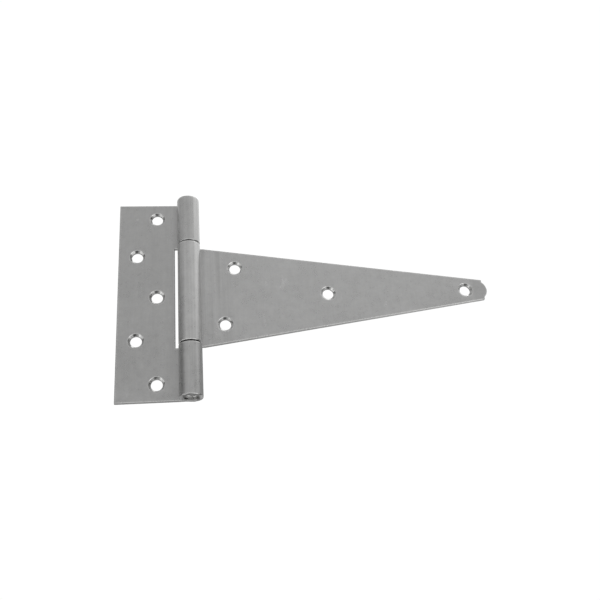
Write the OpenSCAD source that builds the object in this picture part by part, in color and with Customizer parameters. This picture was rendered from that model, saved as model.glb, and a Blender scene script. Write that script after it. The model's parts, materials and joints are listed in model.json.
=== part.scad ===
// Strap and flange hinge, the T-shaped kind used on gates, sheds and garage doors.
// Both leaves are pressed from one gauge of sheet steel and rolled round a plain pin.
//
// Frame: millimetres. +X runs along the strap, +Z runs up along the pin, and +Y points
// into the gate and its post. The origin lies on the mounting plane, straight behind the
// pin and half way up the barrel. Both leaves lie flat, as the hinge is screwed on.

/* [Sheet and barrel] */
// Thickness of the sheet both leaves are pressed from
sheet_t = 2.5; // [1.5:0.1:3.5]
// Outside diameter of the rolled barrel
barrel_d = 14.5; // [12:0.1:20]
// Gap between a knuckle's rolled-in end and the front of its own leaf
seam_gap = 0.2; // [0.1:0.05:0.5]
// Endwise gap between the strap's knuckle and each knuckle of the flange
knuckle_gap = 0.4; // [0.1:0.05:1]

/* [Flange leaf] */
// Height of the flange, which is also the length of the barrel
flange_h = 140; // [130:1:180]
// Width of the flange, from the pin's axis to its outer edge
flange_w = 45.4; // [42:0.1:60]
// Gap beside the strap's knuckle, where the flange is cut back
notch_gap = 2; // [1:0.1:3]

/* [Strap leaf] */
// Length of the strap, from the pin's axis to its tip
strap_l = 200; // [196:1:300]
// Width of the strap at the barrel, which is also the length of its knuckle
strap_root_w = 70.6; // [64:0.2:76]
// Length of the parallel root, from the pin's axis to where the taper starts
strap_root_l = 9; // [7.5:0.5:14]
// Width of the strap across the shoulders of its tip
tip_w = 14.6; // [14:0.1:20]
// Length of the square shoulder on each side of the tip's rounded nose
tip_shoulder = 1.8; // [0.5:0.1:3]
// How far the rounded nose stands out past its shoulders
tip_bulge = 2.6; // [1:0.1:3.5]

/* [Screw holes] */
// Diameter of the screw holes
hole_d = 7.2; // [5:0.1:7.5]
// Depth of the countersink, which has a 90 degree cone
sink_depth = 1.4; // [0.6:0.1:1.4]
// Height of the flange's top and bottom holes above and below its middle hole
flange_inner_z = 59; // [50:0.5:59]
// Height of the flange's two outer holes above and below its middle hole
flange_outer_z = 30; // [24:0.5:36]
// Distance from the pin's axis to the flange's three inner holes
flange_inner_x = 20.6; // [20:0.1:22]
// Distance from the pin's axis to the flange's two outer holes
flange_outer_x = 33.4; // [32:0.1:34]
// Height of the strap's two root holes above and below its centre line
strap_root_z = 20.2; // [14:0.2:21]
// Distance from the pin's axis to the upper root hole
strap_upper_x = 29.8; // [26:0.1:34]
// Distance from the pin's axis to the lower root hole
strap_lower_x = 22.2; // [20:0.1:25]
// Distance from the pin's axis to the strap's middle hole
strap_middle_x = 90.5; // [60:0.1:130]
// Distance from the strap's tip back to its last hole
tip_hole_inset = 15.1; // [14:0.1:20]

/* [Pin] */
// Radial clearance between the pin and the inside of the knuckles
pin_play = 0.05; // [0.01:0.01:0.1]
// How far each end of the pin sits inside the barrel
pin_recess = 1; // [0:0.1:3]
// Chamfer on the ends of the pin
pin_chamfer = 0.6; // [0.2:0.1:1.2]

/* [Hidden] */

barrel_r = barrel_d / 2;
bore_r = barrel_r - sheet_t;
pin_r = bore_r - pin_play;
pin_top = flange_h / 2 - pin_recess;
notch_h = strap_root_w + 2 * knuckle_gap;
notch_x = barrel_r + notch_gap;
shoulder_x = strap_l - tip_bulge;
nose_c = tip_w / 2 - tip_shoulder;
nose_r = (nose_c * nose_c + tip_bulge * tip_bulge) / (2 * tip_bulge);
seam_angle = asin((bore_r - seam_gap) / barrel_r);
round_fn = 96;
cut = 1;

// A flat shape drawn in X and Z, given the sheet's thickness in front of the mounting plane.
module sheet() {
    rotate([90, 0, 0]) linear_extrude(height = sheet_t) children();
}

// A rolled knuckle from z_low to z_high. Its leaf lies towards +X for side 1 and towards -X
// for side -1. The sheet leaves the leaf at the back of the barrel, goes round the front and
// stops just short of the leaf's front face, so the seam shows beside the barrel.
module knuckle(z_low, z_high, side) {
    far = 2 * barrel_d;
    translate([0, -barrel_r, z_low])
        linear_extrude(height = z_high - z_low)
            difference() {
                circle(r = barrel_r, $fn = round_fn);
                circle(r = bore_r, $fn = round_fn);
                polygon([
                    [0, 0],
                    [0, far],
                    [side * far, far],
                    [side * far * cos(seam_angle), far * sin(seam_angle)]
                ]);
            }
}

// The space that one countersunk screw takes, with its head at the front of the leaf.
module screw_hole(x, z) {
    r = hole_d / 2;
    translate([x, 0, z])
        rotate([90, 0, 0])
            rotate_extrude($fn = round_fn)
                polygon([
                    [0, -cut],
                    [r, -cut],
                    [r, sheet_t - sink_depth],
                    [r + sink_depth + cut, sheet_t + cut],
                    [0, sheet_t + cut]
                ]);
}

// Rectangular leaf for the post: a knuckle at each end of the barrel, cut back between
// them for the strap's knuckle, and five screw holes in a zigzag.
module flange_leaf() {
    color([0.58, 0.58, 0.57])
        difference() {
            union() {
                sheet() difference() {
                    translate([-flange_w, -flange_h / 2]) square([flange_w, flange_h]);
                    translate([-notch_x, -notch_h / 2]) square([notch_x + cut, notch_h]);
                }
                knuckle(notch_h / 2, flange_h / 2, -1);
                knuckle(-flange_h / 2, -notch_h / 2, -1);
            }
            for (side = [-1, 0, 1]) screw_hole(-flange_inner_x, side * flange_inner_z);
            for (side = [-1, 1]) screw_hole(-flange_outer_x, side * flange_outer_z);
        }
}

// Long tapered leaf for the gate: one knuckle in the middle of the barrel, a rounded nose
// between square shoulders at the tip, and four screw holes.
module strap_leaf() {
    color([0.62, 0.62, 0.61])
        difference() {
            union() {
                sheet() {
                    polygon([
                        [0, -strap_root_w / 2],
                        [strap_root_l, -strap_root_w / 2],
                        [shoulder_x, -tip_w / 2],
                        [shoulder_x, tip_w / 2],
                        [strap_root_l, strap_root_w / 2],
                        [0, strap_root_w / 2]
                    ]);
                    intersection() {
                        translate([strap_l - nose_r, 0]) circle(r = nose_r, $fn = round_fn);
                        translate([shoulder_x, -nose_c]) square([tip_bulge + cut, 2 * nose_c]);
                    }
                }
                knuckle(-strap_root_w / 2, strap_root_w / 2, 1);
            }
            screw_hole(strap_upper_x, strap_root_z);
            screw_hole(strap_lower_x, -strap_root_z);
            screw_hole(strap_middle_x, 0);
            screw_hole(strap_l - tip_hole_inset, 0);
        }
}

// Plain round pin through all three knuckles, chamfered at both ends.
module hinge_pin() {
    color([0.50, 0.50, 0.49])
        translate([0, -barrel_r, 0])
            rotate_extrude($fn = round_fn)
                polygon([
                    [0, -pin_top],
                    [pin_r - pin_chamfer, -pin_top],
                    [pin_r, -pin_top + pin_chamfer],
                    [pin_r, pin_top - pin_chamfer],
                    [pin_r - pin_chamfer, pin_top],
                    [0, pin_top]
                ]);
}

flange_leaf();
strap_leaf();
hinge_pin();
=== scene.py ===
"""A pressed-steel T hinge: its looks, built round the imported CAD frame.

Each leaf is made as the press shop makes it: a flat blank with sheared, softened edges and
countersunk holes, which is then rolled round the pin. Lengths below are in millimetres and
become metres when a mesh is written.
"""

import json
import math

import bmesh
import bpy
import numpy as np
from mathutils import Matrix, Vector, noise
from mathutils.geometry import delaunay_2d_cdt


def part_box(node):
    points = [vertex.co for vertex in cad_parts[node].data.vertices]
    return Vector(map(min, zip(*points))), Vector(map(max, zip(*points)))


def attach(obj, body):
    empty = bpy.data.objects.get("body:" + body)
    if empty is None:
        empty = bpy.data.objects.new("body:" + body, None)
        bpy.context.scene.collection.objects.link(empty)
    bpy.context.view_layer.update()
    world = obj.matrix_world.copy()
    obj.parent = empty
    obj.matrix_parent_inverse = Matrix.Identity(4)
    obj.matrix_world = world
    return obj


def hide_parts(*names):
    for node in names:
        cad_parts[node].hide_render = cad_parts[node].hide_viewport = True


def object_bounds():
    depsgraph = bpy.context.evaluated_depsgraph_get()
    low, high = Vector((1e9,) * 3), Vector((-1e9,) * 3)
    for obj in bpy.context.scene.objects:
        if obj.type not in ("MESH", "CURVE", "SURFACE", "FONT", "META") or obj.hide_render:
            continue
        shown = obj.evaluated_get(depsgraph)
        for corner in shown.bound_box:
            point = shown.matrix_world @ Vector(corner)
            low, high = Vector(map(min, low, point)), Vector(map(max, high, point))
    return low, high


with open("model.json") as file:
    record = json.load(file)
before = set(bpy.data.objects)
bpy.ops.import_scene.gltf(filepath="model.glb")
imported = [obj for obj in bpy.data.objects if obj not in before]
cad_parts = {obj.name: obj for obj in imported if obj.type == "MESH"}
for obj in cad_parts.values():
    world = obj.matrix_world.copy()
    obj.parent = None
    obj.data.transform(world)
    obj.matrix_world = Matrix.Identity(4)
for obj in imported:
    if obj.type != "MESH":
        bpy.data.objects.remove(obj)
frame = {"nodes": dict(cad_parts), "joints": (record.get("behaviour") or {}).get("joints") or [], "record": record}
cad_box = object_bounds()

MM = 0.001

# ---------------------------------------------------------------- sizes, from the frame


def box_mm(node):
    """Lowest and highest corner of a CAD node, in millimetres."""
    low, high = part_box(node)
    return low / MM, high / MM


def mount(name):
    return next(m for m in frame["record"]["mounts"] if m["name"] == name)


def mount_mm(name):
    """Where a mount is on the leaf: how far along it from the pin, and how high."""
    x, _, z = mount(name)["pos_m"]
    return abs(x) / MM, z / MM


def sheet_thickness():
    """How far the flat of the strap stands off the mounting plane."""
    clear = 2 * BARREL_R * MM
    flat = [-v.co.y for v in frame["nodes"]["strap_leaf"].data.vertices if v.co.x > clear]
    return max(flat) / MM


PIN_Y = frame["joints"][0]["pos_m"][1] / MM
BARREL_R = -PIN_Y
SHEET_T = sheet_thickness()
FLANGE_LOW, FLANGE_HIGH = box_mm("flange_leaf")
_, STRAP_HIGH = box_mm("strap_leaf")
_, PIN_HIGH = box_mm("hinge_pin")
FLANGE_W, FLANGE_TOP = -FLANGE_LOW.x, FLANGE_HIGH.z
STRAP_L, STRAP_TOP = STRAP_HIGH.x, STRAP_HIGH.z
PIN_R, PIN_TOP = PIN_HIGH.x, PIN_HIGH.z
HOLE_R = mount("flange_middle_screw")["dims"]["r_mm"]

# The rest of the two blanks' outlines, as in the CAD
KNUCKLE_GAP = 0.4
NOTCH_TOP = STRAP_TOP + KNUCKLE_GAP
NOTCH_GAP = 2.0
NOTCH_U = BARREL_R + NOTCH_GAP
ROOT_U = 9.0
TIP_BULGE = 2.6
SHOULDER_U = STRAP_L - TIP_BULGE
TIP_HALF = 7.3
NOSE_HALF = 5.5
NOSE_STEPS = 20
SEAM_GAP = 0.2
SINK_DEPTH = 1.4
ROOT_STAGGER = 3.8

# How far a tab turns past three quarters of the pin, and its length before it is rolled
SEAM_TURN = math.asin((BARREL_R - SHEET_T - SEAM_GAP) / BARREL_R)
TAB_L = BARREL_R * (1.5 * math.pi + SEAM_TURN)

# Sheared edges: how far their rounding reaches in from the edge, and down the edge. It is
# wide at the back of the sheet, where the press drew the metal in; that side becomes the
# outside of the barrel.
FRONT_IN, FRONT_DOWN = 0.60, 0.38
BACK_IN, BACK_DOWN = 0.75, 0.30
ROUND_STEPS = 4

# How far in from an edge, and from a hole's sink, the flat of the sheet starts
LOOP_IN = 1.20
HOLE_LOOP_IN = 0.70

# A softened corner's radius, and how many radii past it the next straight starts
CORNER_R = 0.22
CORNER_REACH = 1.6

# How finely the blanks are cut up, and how close two points may lie
GRID = 3.2
GRID_CLEAR = 1.5
TAB_GRID = 1.4 * GRID
TAB_COLUMNS = 62
COLUMN_CLEAR = 0.5
HOLE_STEPS = 64
TINY = 1e-6
TINY_SQUARE = 1e-12

# ---------------------------------------------------------------- outlines of the flat blanks
# A blank is drawn in u, the distance along the leaf from the pin's axis, negative in the
# part that is rolled, and in z. Its outline runs anticlockwise.


def strap_outline():
    """Corners as (u, z, whether the corner is softened)."""
    bulge = STRAP_L - SHOULDER_U
    radius = (NOSE_HALF ** 2 + bulge ** 2) / (2 * bulge)
    half = math.asin(NOSE_HALF / radius)
    nose = [
        (STRAP_L - radius + radius * math.cos(a), radius * math.sin(a), False)
        for a in np.linspace(-half, half, NOSE_STEPS + 1)
    ]
    below = [(-TAB_L, -STRAP_TOP, True), (ROOT_U, -STRAP_TOP, False), (SHOULDER_U, -TIP_HALF, True)]
    above = [(u, -z, soft) for u, z, soft in reversed(below)]
    return below + nose + above


def flange_outline():
    """Corners as for the strap, starting inside the notch."""
    above = [
        (FLANGE_W, FLANGE_TOP, True),
        (-TAB_L, FLANGE_TOP, True),
        (-TAB_L, NOTCH_TOP, True),
        (NOTCH_U, NOTCH_TOP, True),
    ]
    below = [(u, -z, soft) for u, z, soft in reversed(above)]
    return below[-1:] + above + below[:-1]


def columns():
    """Where a tab is cut across, so that it rolls up into narrow strips."""
    return [-(TAB_L - LOOP_IN) * k / TAB_COLUMNS for k in range(TAB_COLUMNS)]


class Rim:
    """A blank's outline as a row of points, each of which can move in from the edge."""

    def __init__(self, corners):
        self.points, self.ways, self.centres, self.radii = [], [], [], []
        n = len(corners)
        flat = [np.array(c[:2], float) for c in corners]
        for i, (corner, soft) in enumerate(zip(flat, [c[2] for c in corners])):
            before, after = flat[i - 1], flat[(i + 1) % n]
            d1 = (corner - before) / np.linalg.norm(corner - before)
            d2 = (after - corner) / np.linalg.norm(after - corner)
            n1, n2 = np.array([d1[1], -d1[0]]), np.array([d2[1], -d2[0]])
            miter = (n1 + n2) / (1 + n1 @ n2)
            outward = 1 if d1[0] * d2[1] - d1[1] * d2[0] > 0 else -1
            if soft:
                self.arc(corner, n1, n2, miter, outward)
            else:
                self.add(corner, miter, None, 0)
            start = corner + d2 * (CORNER_R * CORNER_REACH if soft else 0)
            self.straight(start, after, n2, soft, corners[(i + 1) % n][2])

    def add(self, point, way, centre, radius):
        """One point, and the way it moves out. An outward corner's points share a centre."""
        self.points.append(point)
        self.ways.append(way)
        self.centres.append(point if centre is None else centre)
        self.radii.append(radius)

    def arc(self, corner, n1, n2, miter, outward):
        """A softened corner between two sides that face n1 and n2."""
        centre = corner - outward * miter * CORNER_R
        a1 = math.atan2(*(outward * n1)[::-1])
        a2 = math.atan2(*(outward * n2)[::-1])
        turn = (a2 - a1 + math.pi) % (2 * math.pi) - math.pi
        for k in range(ROUND_STEPS + 1):
            a = a1 + turn * k / ROUND_STEPS
            way = outward * np.array([math.cos(a), math.sin(a)])
            point = centre + outward * CORNER_R * way
            if outward > 0:
                self.add(point, way, (centre, miter), CORNER_R)
            else:
                self.add(point, way, None, 0)

    def straight(self, start, end, way, soft_start, soft_end):
        """Points between two corners: at the tab's columns, or evenly spaced."""
        gap = end - start
        length = np.linalg.norm(gap)
        if abs(gap[1]) < TINY and min(start[0], end[0]) < -COLUMN_CLEAR:
            marks = [u for u in columns() if u < max(start[0], end[0]) - COLUMN_CLEAR]
            shares = [(u - start[0]) / gap[0] for u in marks]
            flat_end = max(start[0], end[0])
            steps = max(1, round(flat_end / GRID))
            shares += [(flat_end * k / steps - start[0]) / gap[0] for k in range(1, steps)]
        else:
            steps = max(1, round(length / GRID))
            shares = [k / steps for k in range(1, steps)]
        if soft_start and abs(gap[1]) > TINY:
            shares = [s for s in shares if s * length > LOOP_IN]
        if soft_end:
            shares = [s for s in shares if (1 - s) * length > LOOP_IN]
        for s in sorted(shares):
            if TINY < s < 1 - TINY:
                self.add(start + gap * s, way, None, 0)

    def inset(self, depth):
        """The outline moved in by depth. A softened corner shrinks to a point, not a loop."""
        out = []
        for p, way, centre, radius in zip(self.points, self.ways, self.centres, self.radii):
            if radius and depth > radius:
                middle, miter = centre
                out.append(middle - miter * (depth - radius))
            else:
                out.append(p - way * depth)
        return np.array(out)


def inside(points, loop):
    """Which points lie inside a closed loop."""
    x, y = points[:, 0], points[:, 1]
    hit = np.zeros(len(points), bool)
    for (x1, y1), (x2, y2) in zip(loop, np.roll(loop, -1, axis=0)):
        if abs(y2 - y1) > TINY_SQUARE:
            crosses = ((y1 > y) != (y2 > y)) & (x < (x2 - x1) * (y - y1) / (y2 - y1) + x1)
            hit ^= crosses
    return hit


def to_segments(points, loop):
    """Distance from each point to the nearest side of a closed loop."""
    best = np.full(len(points), np.inf)
    for a, b in zip(loop, np.roll(loop, -1, axis=0)):
        ab = b - a
        if ab @ ab < TINY_SQUARE:
            continue
        t = np.clip(((points - a) @ ab) / (ab @ ab), 0, 1)
        best = np.minimum(best, np.linalg.norm(points - a - t[:, None] * ab, axis=1))
    return best


def circle(centre, radius):
    """A hole's ring of points on the blank."""
    a = np.linspace(0, 2 * math.pi, HOLE_STEPS, endpoint=False)
    return np.array(centre) + radius * np.stack([np.cos(a), np.sin(a)], 1)


# ---------------------------------------------------------------- profiles through an edge


def edge_profile():
    """A sheared edge from the front of the sheet to its back: (inset, w, wear, cut).
    w is the height above the back of the sheet."""
    front, back = [], []
    for a in np.linspace(0, math.pi / 2, ROUND_STEPS + 1):
        near, drop, sheared = 1 - math.sin(a), 1 - math.cos(a), math.sin(a) ** 4
        front.append((FRONT_IN * near, SHEET_T - FRONT_DOWN * drop, 1.0, sheared))
        back.append((BACK_IN * near, BACK_DOWN * drop, 1.0, sheared))
    return [(LOOP_IN, SHEET_T, 0.0, 0.0), *front, *back[::-1], (LOOP_IN, 0.0, 0.0, 0.0)]


SINK_TOP_R = HOLE_R + SINK_DEPTH
HOLE_LOOP_R = SINK_TOP_R + HOLE_LOOP_IN


def hole_profile():
    """A countersunk hole from front to back: (radius, w, wear, cut)."""
    cone_end = SHEET_T - SINK_DEPTH
    return [
        (HOLE_LOOP_R, SHEET_T, 0.0, 0.0),
        (SINK_TOP_R + 0.16, SHEET_T, 0.9, 0.0),
        (SINK_TOP_R + 0.05, SHEET_T - 0.03, 1.0, 0.2),
        (SINK_TOP_R - 0.06, SHEET_T - 0.10, 0.9, 0.8),
        (SINK_TOP_R - 0.25, SHEET_T - 0.25, 0.2, 1.0),
        (HOLE_R + 0.22, cone_end + 0.22, 0.1, 1.0),
        (HOLE_R + 0.07, cone_end + 0.06, 0.7, 1.0),
        (HOLE_R, cone_end - 0.06, 0.7, 1.0),
        (HOLE_R, cone_end - 0.25, 0.0, 1.0),
        (HOLE_R, 0.22, 0.0, 1.0),
        (HOLE_R + 0.04, 0.07, 0.8, 0.6),
        (HOLE_R + 0.14, 0.0, 0.8, 0.0),
        (HOLE_R + HOLE_LOOP_IN, 0.0, 0.0, 0.0),
        (HOLE_LOOP_R, 0.0, 0.0, 0.0),
    ]


# ---------------------------------------------------------------- from blank to rolled leaf


# How far the sheet strays from true, over what lengths along the leaf and up it, and how far
# along the leaf the flat's waves give way to the rolled part's facets
FLAT_STRAY, ROLLED_STRAY = 0.035, 0.016
WAVE_LENGTHS = (34, 30)
RIPPLE_LENGTHS = (13, 15)
RIPPLE_SHARE = 0.4
FACET_LENGTHS = (1.9, 90)
ROLL_BLEND = 12


def soft_noise(u, z, lengths, seed):
    """Smooth noise, -1 to 1, that changes over these lengths."""
    return noise.noise(Vector((u / lengths[0], z / lengths[1], seed)))


def unevenness(u, z, seed):
    """How far the sheet strays from true: a slow wave in the flat, and in the rolled part
    long narrow facets that the rolling tool leaves along the pin."""
    wave = soft_noise(u, z, WAVE_LENGTHS, seed)
    wave += RIPPLE_SHARE * soft_noise(u, z, RIPPLE_LENGTHS, seed + 5)
    facet = soft_noise(u, z, FACET_LENGTHS, seed + 9)
    flat_share = min(1, max(0, u / ROLL_BLEND + 0.5))
    return FLAT_STRAY * wave * flat_share + ROLLED_STRAY * facet * (1 - flat_share)


# How far along the barrel rolling disturbs the ends of a knuckle, how far outwards, by its
# roughness and its swelling, and how coarsely
END_REACH = 2.4
END_ROUGH = 0.16
END_SWELL = 0.14
END_GRAIN = (1.3, 1.1)
# The turn about the pin, in radians, from which the ends are disturbed: just before the roll
END_START = -0.5

# How far the ends of the knuckles have crept out as they were rolled. For the barrel's top,
# its foot and the upper joint: where the rolling starts, and after each quarter of a turn.
TOP_CREEP = (0.30, 0.42, 0.42, 0.42)
FOOT_CREEP = (0.30, 0.66, 0.06, 0.20)
JOINT_CREEP = (0.10, 0.14, 0.12, 0.14)
NO_CREEP = (0.0, 0.0, 0.0, 0.0)


def end_creep(end, turn):
    """How far the sheet has crept out along the pin at one end of a knuckle."""
    if abs(end) > NOTCH_TOP:
        creep = TOP_CREEP if end > 0 else FOOT_CREEP
    else:
        creep = JOINT_CREEP if end > 0 else NO_CREEP
    quarters = [k * math.pi / 2 for k in range(len(creep))]
    return float(np.interp(turn, [END_START] + quarters, (0.0,) + creep))


def end_shift(u, z, w, seed, tab_rows):
    """How far rolling has pushed out the end of a knuckle: unevenly, and most beside the bore."""
    turn = -u / BARREL_R
    for low, high in tab_rows:
        for end, outward in ((low, -1), (high, 1)):
            reach = 1 - abs(end - z) / END_REACH
            if reach > 0 and turn > END_START:
                rough = soft_noise(u, w, END_GRAIN, seed + end)
                swell = w / SHEET_T - 0.5
                strain = END_ROUGH * (rough - 0.4) + END_SWELL * (swell - 0.5)
                return outward * reach ** 2 * (strain + end_creep(end, turn))
    return 0.0


def roll_up(u, z, w, side, seed, tab_rows):
    """Where a point of the blank lies once the leaf is rolled, in millimetres. side is 1 for
    a leaf that lies towards +X and -1 for one that lies towards -X."""
    z = z + end_shift(u, z, w, seed, tab_rows)
    w = w + unevenness(u, z, seed)
    if u >= 0:
        return side * u, -w, z
    turn = -u / BARREL_R
    radius = BARREL_R - w
    return -side * radius * math.sin(turn), radius * math.cos(turn) - BARREL_R, z


# Settings of the triangulation: keep what lies inside the constraints, and weld this close
CDT_INSIDE = 1
CDT_WELD = 1e-5


def clear_of_holes(points, holes, radius):
    """Which points lie more than radius from the centre of every hole."""
    keep = np.ones(len(points), bool)
    for hole in holes:
        keep &= np.linalg.norm(points - np.array(hole), axis=1) > radius
    return keep


def flat_grid(loops, holes):
    """Points spread over the flat of the blank, clear of its edge loop and its holes."""
    outer = loops[0]
    us = np.arange(GRID, outer[:, 0].max(), GRID)
    zs = np.arange(-FLANGE_TOP, FLANGE_TOP, GRID)
    grid = np.array([(u, z + (GRID / 2) * (i % 2)) for i, u in enumerate(us) for z in zs])
    keep = inside(grid, outer) & clear_of_holes(grid, holes, HOLE_LOOP_R + GRID_CLEAR)
    for loop in loops:
        keep &= to_segments(grid, loop) > GRID_CLEAR
    return list(grid[keep])


def blank_fill(rim, holes, tab_rows):
    """Triangles over the flat of the blank, inside its edge loop and outside its holes."""
    outer = rim.inset(LOOP_IN)
    loops = [outer] + [circle(h, HOLE_LOOP_R) for h in holes]
    points, edges = [], []
    for loop in loops:
        first = len(points)
        points += list(loop)
        edges += [(first + i, first + (i + 1) % len(loop)) for i in range(len(loop))]
    for low, high in tab_rows:
        low, high = low + LOOP_IN, high - LOOP_IN
        steps = round((high - low) / TAB_GRID)
        for u in columns():
            first = len(points)
            points += [np.array([u, low + (high - low) * k / steps]) for k in range(steps + 1)]
            edges += [(first + k, first + k + 1) for k in range(steps)]
    points += flat_grid(loops, holes)
    made = delaunay_2d_cdt([Vector(p) for p in points], edges, [], CDT_INSIDE, CDT_WELD)
    corners = np.array([tuple(v) for v in made[0]])
    tris = np.array(made[2])
    middle = corners[tris].mean(1)
    hole_reach = HOLE_LOOP_R * math.cos(math.pi / HOLE_STEPS)
    keep = inside(middle, outer) & clear_of_holes(middle, holes, hole_reach)
    return corners, tris[keep]


def strips(bm, rows):
    """Faces between rings of points, each ring joined to the next."""
    for one, two in zip(rows, rows[1:]):
        for i in range(len(one)):
            j = (i + 1) % len(one)
            bm.faces.new((one[i], one[j], two[j], two[i]))


def leaf(name, side, corners, holes, tab_rows, seed):
    """One leaf: its blank's two faces, its edges and its holes, rolled round the pin."""
    rim = Rim(corners)
    fill, tris = blank_fill(rim, holes, tab_rows)
    bm = bmesh.new()
    wear, cut, drill = (bm.verts.layers.float.new(k) for k in ("wear", "cut", "drilled"))

    def vertex(u, z, w, worn=0.0, sheared=0.0, drilled=0.0):
        v = bm.verts.new([c * MM for c in roll_up(u, z, w, side, seed, tab_rows)])
        v[wear], v[cut], v[drill] = worn, sheared, drilled
        return v

    for w in (SHEET_T, 0.0):
        vs = [vertex(u, z, w) for u, z in fill]
        for tri in tris:
            bm.faces.new([vs[i] for i in tri])

    strips(bm, [
        [vertex(u, z, w, worn, sheared) for u, z in rim.inset(depth)]
        for depth, w, worn, sheared in edge_profile()
    ])
    for hole in holes:
        strips(bm, [
            [vertex(u, z, w, worn, sheared, sheared) for u, z in circle(hole, radius)]
            for radius, w, worn, sheared in hole_profile()
        ])
    return mesh_object(name, bm)


# In metres: points this close are welded, and edges this short are dissolved
WELD = 2e-6
DEGENERATE = 1e-7
# Shading follows the largest faces as far as the modifier allows
LARGEST_FACES = 100


def mesh_object(name, bm):
    """Welds a bmesh, turns its faces outwards and makes an object of it."""
    bmesh.ops.remove_doubles(bm, verts=bm.verts, dist=WELD)
    bmesh.ops.dissolve_degenerate(bm, edges=bm.edges, dist=DEGENERATE)
    bmesh.ops.recalc_face_normals(bm, faces=bm.faces)
    for face in bm.faces:
        face.smooth = True
    mesh = bpy.data.meshes.new(name)
    bm.to_mesh(mesh)
    bm.free()
    ob = bpy.data.objects.new(name, mesh)
    bpy.context.scene.collection.objects.link(ob)
    shade = ob.modifiers.new("even_shading", "WEIGHTED_NORMAL")
    shade.mode = "FACE_AREA"
    shade.weight = LARGEST_FACES
    return ob


# The torn crown on each end of the pin: the height where its slope starts, the step outside
# the slope and how far in and down that step's worn rim is, how far in and up the slope goes,
# its rows and the rings inside it, how torn it is and how coarsely, and how far its middle dips
CROWN_START = PIN_TOP - 0.2
CROWN_STEP = 0.25
RIM_IN, RIM_DOWN = 0.06, 0.12
CROWN_IN = 2.05
CROWN_RISE = 1.2
CROWN_ROWS = 9
CROWN_RINGS = (1.8, 1.2, 0.6)
CROWN_TEAR = 0.30
CROWN_GRAIN = (1.5, 1.1)
CROWN_DIP = 0.15

# The plain rod between the crowns
ROD_END = CROWN_START - 2.0
ROD_ROWS = 34
PIN_STEPS = 72


def crown_profile():
    """One end of the pin from its side to its middle: (radius, height, wear, cut)."""
    rows = [
        (PIN_R, ROD_END, 0.0, 0.0),
        (PIN_R, CROWN_START - CROWN_STEP, 0.0, 0.0),
        (PIN_R - RIM_IN, CROWN_START - RIM_DOWN, 1.0, 0.0),
    ]
    for c in np.linspace(0, 1, CROWN_ROWS):
        radius = PIN_R - CROWN_STEP - CROWN_IN * c
        rows.append((radius, CROWN_START + CROWN_RISE * c, 1.0 - c, min(1.0, 0.3 + 2 * c)))
    return rows + [(r, CROWN_START + CROWN_RISE, 0.0, 1.0) for r in CROWN_RINGS]


def pin():
    """The plain pin: cropped from rod and driven in, so its ends stand up and are torn."""
    bm = bmesh.new()
    wear, cut = (bm.verts.layers.float.new(k) for k in ("wear", "cut"))

    def ring(radius, z, worn, sheared, up):
        out = []
        for k in range(PIN_STEPS):
            a = 2 * math.pi * k / PIN_STEPS
            x, y = radius * math.cos(a), radius * math.sin(a)
            tear = CROWN_TEAR * sheared * (soft_noise(x, y, CROWN_GRAIN, 7 * up) - 0.5)
            v = bm.verts.new((x * MM, (y + PIN_Y) * MM, up * (z + tear) * MM))
            v[wear], v[cut] = worn, sheared
            out.append(v)
        return out

    top, low = ([ring(*row, up) for row in crown_profile()] for up in (1, -1))
    heights = np.linspace(ROD_END, -ROD_END, ROD_ROWS)[1:-1]
    rod = [ring(PIN_R, z, 0.0, 0.0, 1) for z in heights]
    chain = top[::-1] + rod + low
    strips(bm, chain)
    for end, up in ((chain[0], 1), (chain[-1], -1)):
        hub = bm.verts.new((0, PIN_Y * MM, up * (CROWN_START + CROWN_RISE - CROWN_DIP) * MM))
        hub[cut] = 1.0
        for one, two in zip(end, end[1:] + end[:1]):
            bm.faces.new((one, two, hub))
    return mesh_object("hinge_pin_rod", bm)


# ---------------------------------------------------------------- materials
# Lengths here are in metres, and a noise's scale is in waves to a metre.

# The range that a noise mostly keeps to
NOISE_RANGE = (0.3, 0.7)


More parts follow.
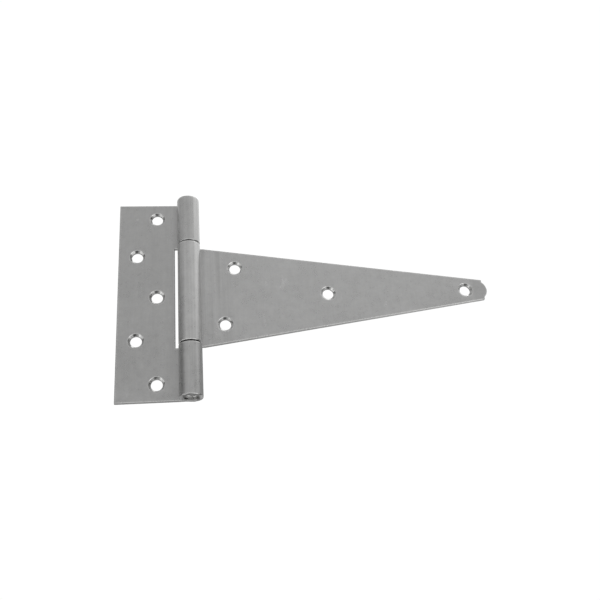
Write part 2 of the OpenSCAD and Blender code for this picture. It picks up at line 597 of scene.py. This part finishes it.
class Graph:
    """A node tree, with one short call for each node."""

    def __init__(self, tree):
        self.tree = tree
        self.tree.nodes.clear()

    def node(self, kind, out=0, settings=None, **sockets):
        """Adds a node and gives one of its outputs. Sockets are named, with _ for a space, or
        numbered as i0, i1 and so on."""
        made = self.tree.nodes.new(kind)
        for key, value in (settings or {}).items():
            setattr(made, key, value)
        for key, value in sockets.items():
            which = int(key[1:]) if key[1:].isdigit() else key.replace("_", " ")
            self.put(made.inputs[which], value)
        return made.outputs[out] if made.outputs else None

    def put(self, socket, value):
        if isinstance(value, bpy.types.NodeSocket):
            self.tree.links.new(value, socket)
        else:
            socket.default_value = value

    def maths(self, operation, a, b=0.0):
        return self.node("ShaderNodeMath", settings={"operation": operation}, i0=a, i1=b)

    def times(self, a, b):
        return self.maths("MULTIPLY", a, b)

    def total(self, *values):
        out = values[0]
        for value in values[1:]:
            out = self.maths("ADD", out, value)
        return out

    def span(self, value, low, high, to_low=0.0, to_high=1.0, smooth=False):
        """value, taken from one range to another and held inside it."""
        settings = {"interpolation_type": "SMOOTHSTEP" if smooth else "LINEAR"}
        return self.node(
            "ShaderNodeMapRange", settings=settings, Value=value,
            From_Min=low, From_Max=high, To_Min=to_low, To_Max=to_high,
        )

    def vary(self, pattern, low, high):
        """A noise, taken from the range it mostly keeps to, to low and high."""
        return self.span(pattern, *NOISE_RANGE, low, high)

    def stretch(self, vector, scale, turn=(0, 0, 0)):
        return self.node("ShaderNodeMapping", Vector=vector, Scale=scale, Rotation=turn)

    def noise(self, vector, scale, detail=2.0, rough=0.5, seed=0.0):
        settings = {"noise_dimensions": "4D"}
        return self.node(
            "ShaderNodeTexNoise", settings=settings, Vector=vector, Scale=scale,
            Detail=detail, Roughness=rough, W=seed,
        )

    def tint(self, value, colour):
        """A colour times a grey value."""
        settings = {"operation": "SCALE"}
        return self.node("ShaderNodeVectorMath", settings=settings, i0=colour, Scale=value)

    def attribute(self, name):
        return self.node("ShaderNodeAttribute", out=2, settings={"attribute_name": name})


def new_material(name):
    material = bpy.data.materials.new(name)
    material.use_nodes = True
    return material, Graph(material.node_tree)


# Scratches: how they are drawn out and how wide they are, and how far apart and how rare are
# the patches that have them
SCRATCH_STRETCH = (190, 20, 14)
SCRATCH_WIDTH = 0.012
PATCH_SCALE = 55
PATCH_RANGE = (0.66, 0.74)

# Nicks: how close together they could be, which few of them are made, and how they fade out
NICK_SCALE = 120
NICK_CHOICE = (0.94, 0.95)
NICK_FADE = (0.05, 0.14)


def scratches(g, place, turn, seed):
    """Thin scratches, all about one way, and only here and there."""
    lines = g.noise(g.stretch(place, SCRATCH_STRETCH, turn), 1.0, 0.0, 0.5, seed)
    near = g.maths("ABSOLUTE", g.maths("SUBTRACT", lines, 0.5))
    thin = g.span(near, 0.0, SCRATCH_WIDTH, 1.0, 0.0)
    patches = g.noise(place, PATCH_SCALE, 0.0, 0.5, seed + 3)
    return g.times(thin, g.span(patches, *PATCH_RANGE, smooth=True))


def nicks(g, place, seed):
    """Small scattered dents and specks."""
    spots = g.tree.nodes.new("ShaderNodeTexVoronoi")
    spots.voronoi_dimensions = "4D"
    g.put(spots.inputs["Vector"], place)
    g.put(spots.inputs["W"], seed)
    g.put(spots.inputs["Scale"], NICK_SCALE)
    pick = g.node("ShaderNodeSeparateColor", Color=spots.outputs["Color"])
    dents = g.span(spots.outputs["Distance"], *NICK_FADE, 1.0, 0.0)
    return g.times(dents, g.span(pick, *NICK_CHOICE))


def off_axis(g, place):
    """Distance from the pin's axis, along the leaves."""
    return g.maths("ABSOLUTE", g.node("ShaderNodeSeparateXYZ", out=0, Vector=place))


# Where the finish changes along the leaves, and where shade and a glint are painted on near the barrel: between
# which distances from the pin's axis
MARKS_START, MARKS_END = (0.007, 0.009), (0.018, 0.036)
BARREL_END = (0.0070, 0.0076)
# Painted shade: the leaf is darker out to here beside the barrel, where the barrel shades it
SHADE_BESIDE_BARREL_END = (0.0085, 0.0135)
# Painted shade and glint on the knuckle ends: darker near the bore, lighter past it
SHADE_TO_GLINT_ACROSS_BORE = (0.0046, 0.0060)
PAST_TIP_HOLE = (0.1885, 0.1915)

# How the two families of scratches are turned, in radians
LEVEL_SCRATCHES, SLANTED_SCRATCHES = (0, 0.1, 0), (0, -0.6, 0)


def roller_marks(g, place, seed):
    """Upright bands that the rolling tool leaves on the leaf beside the barrel: -1.35 to 0.65."""
    off = off_axis(g, place)
    near = g.times(g.span(off, *MARKS_START), g.span(off, *MARKS_END, 1.0, 0.0, smooth=True))
    bands = g.noise(g.stretch(place, (330, 330, 9)), 1.0, 2.0, 0.6, seed)
    return g.times(near, g.vary(bands, -1.35, 0.65))


def barrel_marks(g, place, barrel, seed):
    """Streaks along the barrel and blotches across it: about -1 to 1."""
    streak = g.noise(g.stretch(place, (620, 620, 11)), 1.0, 3.0, 0.6, seed)
    blotch = g.noise(g.stretch(place, (190, 190, 120)), 1.0, 3.0, 0.6, seed + 1)
    both = g.total(g.vary(streak, -0.8, 0.8), g.vary(blotch, -0.35, 0.35))
    return g.times(barrel, both)


def zinc_patterns(g, seed):
    """All that shows on the zinc, by name."""
    place = g.node("ShaderNodeTexCoord", out=3)
    off = off_axis(g, place)
    m = {k: g.attribute(k) for k in ("wear", "cut", "drilled")}
    m["cloud"] = g.noise(place, 38, 2.0, 0.5, seed)
    m["mottle"] = g.noise(place, 230, 3.0, 0.65, seed + 1)
    m["speck"] = g.noise(place, 1100, 2.0, 0.7, seed + 2)
    m["grain"] = g.noise(g.stretch(place, (850, 850, 48)), 1.0, 3.0, 0.6, seed + 3)
    m["striped"] = g.noise(g.stretch(place, (2300, 160, 2300)), 1.0, 2.0, 0.6, seed + 6)
    m["roller"] = roller_marks(g, place, seed + 10)
    m["barrel"] = g.span(off, *BARREL_END, 1.0, 0.0)
    m["streaks"] = barrel_marks(g, place, m["barrel"], seed + 12)
    # Painted shade: darker on the leaf just beside the barrel, where the barrel shades it
    painted_shade_near_barrel = g.span(off, *SHADE_BESIDE_BARREL_END, 1.0, 0.0, smooth=True)
    m["beside"] = g.maths("SUBTRACT", painted_shade_near_barrel, m["barrel"])
    level = scratches(g, place, LEVEL_SCRATCHES, seed + 4)
    slanted = scratches(g, place, SLANTED_SCRATCHES, seed + 8)
    m["scratch"] = g.maths("MAXIMUM", level, slanted)
    m["nick"] = nicks(g, place, seed)
    ragged = g.span(g.noise(place, 900, 3.0, 0.7, seed + 5), 0.35, 0.65)
    m["worn"] = g.times(m["wear"], g.span(ragged, 0.0, 1.0, 0.35, 1.0))
    # Painted shade on the knuckle ends near the bore, and a painted glint further out towards the barrel's outside
    m["knuckle_end_shade_and_glint"] = g.times(g.times(m["cut"], m["barrel"]), g.span(off, *SHADE_TO_GLINT_ACROSS_BORE, -0.32, 0.22))
    m["past_tip_hole"] = g.span(off, *PAST_TIP_HOLE, smooth=True)
    m["cut_stripes"] = g.times(m["cut"], m["striped"])
    return m


# How far each pattern takes the zinc's shade and its roughness, either way
SHADE_EITHER_WAY = {"cloud": 0.035, "mottle": 0.055, "speck": 0.025, "grain": 0.022}
ROUGH_EITHER_WAY = {"cloud": 0.02, "mottle": 0.05, "speck": 0.02}

# What each mark adds where it is full, to the shade, to the roughness and to the height
# beside is painted shade on the leaf next to the barrel
SHADE_ADDED = {
    # The knuckle ends' mark is painted shade near the bore and a painted glint further out
    "streaks": 0.13, "barrel": 0.05, "beside": -0.05, "knuckle_end_shade_and_glint": 1.0, "scratch": 0.10,
    "nick": 0.22, "past_tip_hole": -0.095, "worn": 0.20,
}
ROUGH_ADDED = {"roller": -0.03, "scratch": -0.05, "worn": -0.06, "cut": 0.08, "drilled": -0.18}
HEIGHT_ADDED = {"mottle": 1.2, "grain": 0.30, "speck": 0.12, "scratch": -0.15, "cut_stripes": 1.2}

# The zinc's plain roughness and the depth of its relief, how far stripes take its cut faces
# either way, and how much of those faces' own shade the drilled holes take back
ZINC_ROUGH = 0.31
ZINC_DEPTH = 0.00001
STRIPE_SHADE = 0.12
DRILLED_SHARE = -0.6


def zinc(name, colour, seed, edge_shade, roller_shade):
    """Bright zinc plate over rolled sheet: clouded, mottled, faintly streaked up and down,
    scuffed, and bare and bright along its edges, with painted shade on the leaf beside the barrel
    and painted shade and a painted glint on the knuckle ends. edge_shade is how its cut faces
    differ, and roller_shade is how strongly the rolling tool has marked it beside the barrel."""
    material, g = new_material(name)
    m = zinc_patterns(g, seed)

    def either_way(table):
        return [g.vary(m[k], -amount, amount) for k, amount in table.items()]

    def added(table):
        return [g.times(m[k], amount) for k, amount in table.items()]

    stripes = g.vary(m["striped"], edge_shade - STRIPE_SHADE, edge_shade + STRIPE_SHADE)
    shade = g.total(
        1.0, *either_way(SHADE_EITHER_WAY), *added(SHADE_ADDED),
        g.times(m["roller"], roller_shade),
        g.times(m["drilled"], DRILLED_SHARE * edge_shade),
        g.times(m["cut"], stripes),
    )
    rough = g.total(ZINC_ROUGH, *either_way(ROUGH_EITHER_WAY), *added(ROUGH_ADDED))
    height = g.total(*added(HEIGHT_ADDED))
    finish_metal(g, g.tint(shade, colour), rough, height, ZINC_DEPTH)
    return material


# The pin's plain roughness and the depth of its relief, how far in front of its axis its torn
# ends are brighter, in millimetres, and how bright they are: a shiny shear zone, and a painted highlight on the
# front half
ROD_ROUGH = 0.42
ROD_DEPTH = 0.00002
GLINT_FRONT_REACH = 1.6
SHINE_AND_GLINT = 1.1


def rod_steel(name, colour, seed):
    """Dull drawn rod: fine lines along it, and a torn grey crop at its ends, with painted highlights on the crop's
    front half.
    """
    material, g = new_material(name)
    place = g.node("ShaderNodeTexCoord", out=3)
    wear, cut = g.attribute("wear"), g.attribute("cut")
    drawn = g.noise(g.stretch(place, (1800, 1800, 60)), 1.0, 3.0, 0.6, seed)
    blotch = g.noise(place, 420, 3.0, 0.6, seed + 1)
    torn = g.noise(g.stretch(place, (520, 1100, 520)), 1.0, 2.0, 0.6, seed + 2)
    ahead = g.node("ShaderNodeSeparateXYZ", out=1, Vector=place)
    front = g.span(ahead, PIN_Y * MM, (PIN_Y - GLINT_FRONT_REACH) * MM)
    # The front half of the torn crop is painted brighter: partly a shiny shear zone, partly a painted highlight
    sheared = g.times(g.times(cut, front), g.span(torn, 0.46, 0.54))
    shade = g.total(
        1.0,
        g.vary(drawn, -0.08, 0.08),
        g.vary(blotch, -0.18, 0.12),
        g.times(cut, g.span(torn, 0.35, 0.65, -0.40, 0.0)),
        g.times(sheared, SHINE_AND_GLINT),
        g.times(wear, 0.10),
    )
    rough = g.total(ROD_ROUGH, g.vary(blotch, -0.06, 0.08), g.times(cut, 0.08))
    height = g.total(drawn, g.times(blotch, 2.0), g.times(cut, torn))
    finish_metal(g, g.tint(shade, colour), rough, height, ROD_DEPTH)
    return material


def finish_metal(g, colour, rough, height, depth):
    bump = g.node("ShaderNodeBump", Height=height, Distance=depth)
    metal = g.node(
        "ShaderNodeBsdfPrincipled", Base_Color=colour, Metallic=1.0, Roughness=rough, Normal=bump
    )
    g.node("ShaderNodeOutputMaterial", Surface=metal)


# ---------------------------------------------------------------- the hinge


def mount_holes(name):
    """Hole centres of one mount, on the blank: (u, z)."""
    u, z = mount_mm(name)
    dims = mount(name)["dims"]
    if "spacing_y_mm" in dims:
        return [(u, z - dims["spacing_y_mm"] / 2), (u, z + dims["spacing_y_mm"] / 2)]
    if "spacing_x_mm" in dims:
        return [(u - dims["spacing_x_mm"] / 2, z), (u + dims["spacing_x_mm"] / 2, z)]
    if "pcd_mm" in dims:
        rise = math.sqrt((dims["pcd_mm"] / 2) ** 2 - ROOT_STAGGER ** 2)
        return [(u - ROOT_STAGGER, z - rise), (u + ROOT_STAGGER, z + rise)]
    return [(u, z)]


def holes_of(*names):
    return [hole for name in names for hole in mount_holes(name)]


def dress(ob, node, body, material):
    """Puts a finished piece in a CAD node's place."""
    ob.data.materials.append(material)
    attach(ob, body)
    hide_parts(node)


# Each leaf's zinc, as zinc() takes it after its name, and the seed of its sheet's unevenness
FLANGE_ZINC = ((0.565, 0.565, 0.56), 1.0, -0.28, 0.02)
STRAP_ZINC = ((0.635, 0.635, 0.63), 21.0, -0.10, 0.09)
FLANGE_SEED, STRAP_SEED = 3.0, 11.0

# The pin's colour, and the seed of its patterns
PIN_STEEL = ((0.5, 0.5, 0.49), 41.0)


def build_flange():
    holes = holes_of("flange_inner_screws", "flange_middle_screw", "flange_outer_screws")
    rows = [(-FLANGE_TOP, -NOTCH_TOP), (NOTCH_TOP, FLANGE_TOP)]
    ob = leaf("flange_leaf_plated", -1, flange_outline(), holes, rows, FLANGE_SEED)
    dress(ob, "flange_leaf", "flange", zinc("zinc_flange", *FLANGE_ZINC))


def build_strap():
    holes = holes_of("strap_root_screws", "strap_line_screws")
    rows = [(-STRAP_TOP, STRAP_TOP)]
    ob = leaf("strap_leaf_plated", 1, strap_outline(), holes, rows, STRAP_SEED)
    dress(ob, "strap_leaf", "strap", zinc("zinc_strap", *STRAP_ZINC))


def build_pin():
    dress(pin(), "hinge_pin", "flange", rod_steel("steel_pin", *PIN_STEEL))


# ---------------------------------------------------------------- studio


# The room as the metal mirrors it: a grey shell with lighter and darker panels. For each, in
# degrees: azimuth from the front towards +X, elevation, half its width and half its height,
# how far it fades out beyond them across and up, and then what it adds to the grey.
ROOM_GREY = 0.50
ROOM_DARKEST = 0.03
ROOM_PANELS = {
    "tall_window": (80, 50, 12, 21, 14, 4, 0.36),
    "window_beyond": (138, 50, 32, 22, 14, 3.5, 0.28),
    "back_card": (180, 58, 60, 26, 14, 5, 0.12),
    "dark_corner": (135, 0, 35, 23, 25, 4, -0.22),
    "dark_left": (-105, 0, 20, 20, 52, 16, -0.36),
    "dark_right": (89, -18, 15, 26, 8, 8, -0.28),
    "high_front": (28, 40, 20, 7, 16, 6, 0.06),
    "low_front": (28, 17, 25, 5, 16, 5, -0.05),
    "ceiling": (10, 70, 70, 16, 14, 14, -0.08),
    "light_right": (70, 27, 60, 40, 14, 12, 0.03),
    "table_edge": (8, -15, 40, 9, 14, 12, 0.38),
    "table_gap": (12, -62, 24, 7, 20, 9, -0.42),
    "table_top": (0, -90, 180, 13, 1, 8, 0.5),
    "low_card_right": (44, -29, 9, 15, 5, 7, 0.85),
    "mid_card_right": (60, -15, 7, 9, 5, 6, 0.8),
    "low_card_left": (-76, -20, 9, 19, 6, 8, 0.9),
    "under_card_left": (-56, -36, 9, 9, 5, 5, 0.75),
    "low_card_back": (132, -18, 20, 8, 16, 8, 0.32),
}


# What the camera sees round the hinge, and the floor's light
WHITE = (1, 1, 1, 1)
BACKDROP = 1.02

# The floor, in metres: half its width, its cells, its height under the hinge, its colour, and
# between which distances from its middle it fades out
FLOOR_HALF = 1.6
FLOOR_CELLS = 24
FLOOR_BELOW = 0.0002
FLOOR_COLOUR = (0.84, 0.84, 0.84, 1)
FLOOR_FADE = (0.28, 1.1)

# The soft box, in metres: its place, its width, and how bright its face looks
KEY_PLACE = (0.5, 0.3, 1.7)
KEY_SIZE = 0.8
KEY_RADIANCE = 1.0

# The camera, in degrees and millimetres: where it stands as seen from its aim, how it is
# tilted, how far its aim is from the middle of the CAD's box, how far off it stands, its lens
# and sensor, and in metres how near and how far it sees
CAMERA_AZIMUTH, CAMERA_ELEVATION, CAMERA_TILT = -8.79, -26.43, -5.40
CAMERA_AIM = (-6.84, 0.0, -6.96)
CAMERA_DISTANCE = 460.3
CAMERA_LENS, CAMERA_SENSOR = 42.75, 36.0
CAMERA_NEAR, CAMERA_FAR = 0.01, 20.0


def fade_out(g, angle, half, fade):
    """1 within half of a panel's middle, and 0 from fade beyond that. Both are in degrees."""
    return g.span(angle, math.radians(half), math.radians(half + fade), 1.0, 0.0, smooth=True)


def panel(g, level, lift, azimuth, elevation, half_width, half_height, fade_across, fade_up):
    """How much of a room's panel lies in one direction: 0 to 1."""
    turn = math.radians(azimuth)
    facing = g.node(
        "ShaderNodeVectorMath", out=1, settings={"operation": "DOT_PRODUCT"},
        i0=level, i1=(math.sin(turn), -math.cos(turn), 0),
    )
    across = fade_out(g, g.maths("ARCCOSINE", facing), half_width, fade_across)
    above = g.maths("ABSOLUTE", g.maths("SUBTRACT", lift, math.radians(elevation)))
    return g.times(across, fade_out(g, above, half_height, fade_up))


def studio_world():
    """White for the camera and for the floor's light, and an uneven grey room in reflections."""
    world = bpy.data.worlds.new("studio")
    bpy.context.scene.world = world
    world.use_nodes = True
    g = Graph(world.node_tree)
    way = g.node("ShaderNodeTexCoord", out=0)
    lift = g.maths("ARCSINE", g.node("ShaderNodeSeparateXYZ", out=2, Vector=way))
    flat = g.node("ShaderNodeVectorMath", settings={"operation": "MULTIPLY"}, i0=way, i1=(1, 1, 0))
    level = g.node("ShaderNodeVectorMath", settings={"operation": "NORMALIZE"}, i0=flat)
    bright = ROOM_GREY
    for *shape, gain in ROOM_PANELS.values():
        bright = g.total(bright, g.times(panel(g, level, lift, *shape), gain))
    strength = g.maths("MAXIMUM", bright, ROOM_DARKEST)
    room = g.node("ShaderNodeBackground", Color=WHITE, Strength=strength)
    white = g.node("ShaderNodeBackground", Color=WHITE, Strength=BACKDROP)
    mirrored = g.node("ShaderNodeLightPath", out=3)
    both = g.node("ShaderNodeMixShader", i0=mirrored, i1=white, i2=room)
    g.node("ShaderNodeOutputWorld", Surface=both)


def floor_material():
    """Pale and matt, gone far off, from below and in reflections."""
    material, g = new_material("floor_pale")
    place = g.node("ShaderNodeTexCoord", out=3)
    far = g.node("ShaderNodeVectorMath", out=1, settings={"operation": "LENGTH"}, i0=place)
    mirrored = g.node("ShaderNodeLightPath", out=3)
    pale = g.node("ShaderNodeBsdfDiffuse", Color=FLOOR_COLOUR)
    clear = g.node("ShaderNodeBsdfTransparent")
    away = g.span(far, *FLOOR_FADE, smooth=True)
    under = g.node("ShaderNodeNewGeometry", out=6)
    gone = g.maths("MAXIMUM", g.maths("MAXIMUM", away, under), mirrored)
    faded = g.node("ShaderNodeMixShader", i0=gone, i1=pale, i2=clear)
    g.node("ShaderNodeOutputMaterial", Surface=faded)
    return material


def floor(low_z, centre):
    """A pale floor under the hinge that fades into the backdrop and hides nothing from below."""
    bm = bmesh.new()
    bmesh.ops.create_grid(bm, x_segments=FLOOR_CELLS, y_segments=FLOOR_CELLS, size=FLOOR_HALF)
    mesh = bpy.data.meshes.new("floor")
    bm.to_mesh(mesh)
    bm.free()
    ob = bpy.data.objects.new("floor", mesh)
    ob.location = (centre.x, centre.y, low_z)
    bpy.context.scene.collection.objects.link(ob)
    mesh.materials.append(floor_material())


def lamp(name, place, aim, size, radiance):
    """A square soft box, which the camera doesn't see. radiance is how bright its face looks."""
    data = bpy.data.lights.new(name, "AREA")
    data.shape, data.size = "SQUARE", size
    data.energy = radiance * math.pi * size ** 2
    ob = bpy.data.objects.new(name, data)
    ob.location = place
    ob.rotation_mode = "QUATERNION"
    ob.rotation_quaternion = (aim - Vector(place)).to_track_quat("-Z", "Y")
    ob.visible_camera = False
    bpy.context.scene.collection.objects.link(ob)


def camera(centre):
    """The camera, below and a little left of the hinge's face and slightly tilted."""
    angles = (CAMERA_AZIMUTH, CAMERA_ELEVATION, CAMERA_TILT)
    azimuth, elevation, tilt = (math.radians(a) for a in angles)
    aim = centre + Vector(CAMERA_AIM) * MM
    flat = math.cos(elevation)
    back = Vector((math.sin(azimuth) * flat, -math.cos(azimuth) * flat, math.sin(elevation)))
    right = (-back).cross(Vector((0, 0, 1))).normalized()
    up = right.cross(-back)
    level = Matrix((right, up, back)).transposed().to_4x4()
    data = bpy.data.cameras.new("camera")
    data.lens, data.sensor_width = CAMERA_LENS, CAMERA_SENSOR
    data.clip_start, data.clip_end = CAMERA_NEAR, CAMERA_FAR
    ob = bpy.data.objects.new("camera", data)
    turn = level @ Matrix.Rotation(tilt, 4, "Z")
    ob.matrix_world = Matrix.Translation(aim + back * (CAMERA_DISTANCE * MM)) @ turn
    bpy.context.scene.collection.objects.link(ob)
    bpy.context.scene.camera = ob


def stage_set():
    low, high = cad_box
    centre = (low + high) / 2
    studio_world()
    floor(low.z - FLOOR_BELOW, centre)
    lamp("key", KEY_PLACE, centre, KEY_SIZE, KEY_RADIANCE)
    camera(centre)
    bpy.context.scene.view_settings.view_transform = "Standard"


build_flange()
build_strap()
build_pin()
stage_set()
